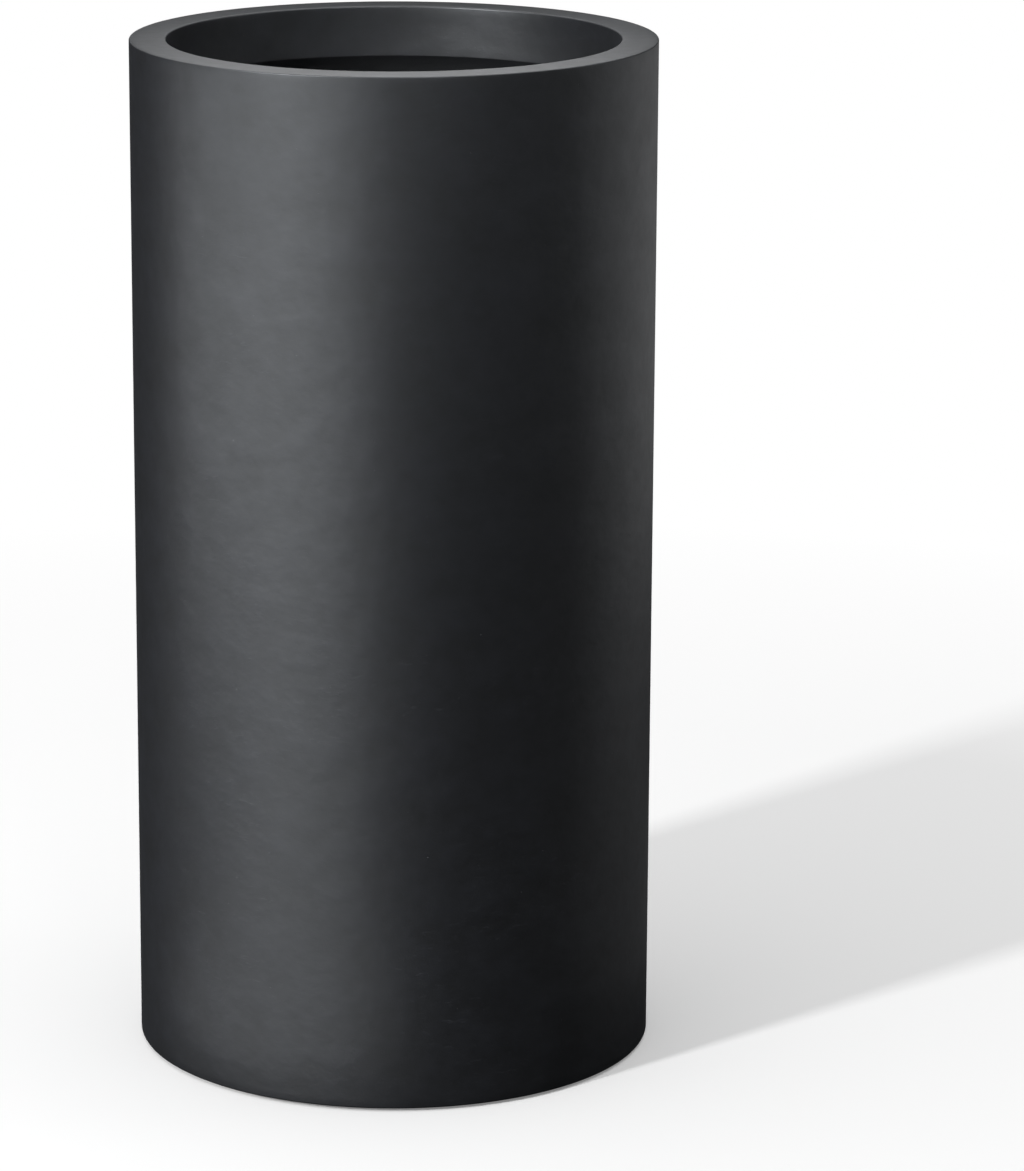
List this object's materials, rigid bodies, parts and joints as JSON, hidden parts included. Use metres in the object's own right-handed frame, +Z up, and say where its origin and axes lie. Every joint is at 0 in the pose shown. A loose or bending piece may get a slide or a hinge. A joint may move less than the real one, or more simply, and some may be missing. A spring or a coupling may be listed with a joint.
{
  "type": "floor planter",
  "caption": "Tall cylindrical concrete floor planter with a flat rim, a collar turned down inside the mouth, a bonded base with a drain and pull plug, and rubber foot pads.",
  "frame": {"origin": "on the floor, on the planter's own axis: the centre of the bottom of its box", "axes": "+Z up along the planter's axis, out of its mouth; +X to the right and -Y towards the viewer of the picture, though the barrel itself is round"},
  "size_m": [0.355, 0.3549, 0.698],
  "materials": {
    "charcoal_concrete": "matte",
    "bond_mortar": "matte",
    "grey_plastic": "satin",
    "black_rubber": "matte"
  },
  "bodies": {
    "planter": {"planter_shell": "charcoal_concrete", "base_slab": "charcoal_concrete", "base_cove": "bond_mortar", "drain_sleeve": "grey_plastic", "foot_pad_1": "black_rubber", "foot_pad_2": "black_rubber", "foot_pad_3": "black_rubber", "foot_pad_4": "black_rubber"},
    "plug": {"drain_plug": "black_rubber"}
  },
  "joints": [
    {"name": "plug_lift", "type": "slide", "parent": "planter", "child": "plug", "axis": [0, 0, 1], "range_m": [0, 0.72]}
  ]
}
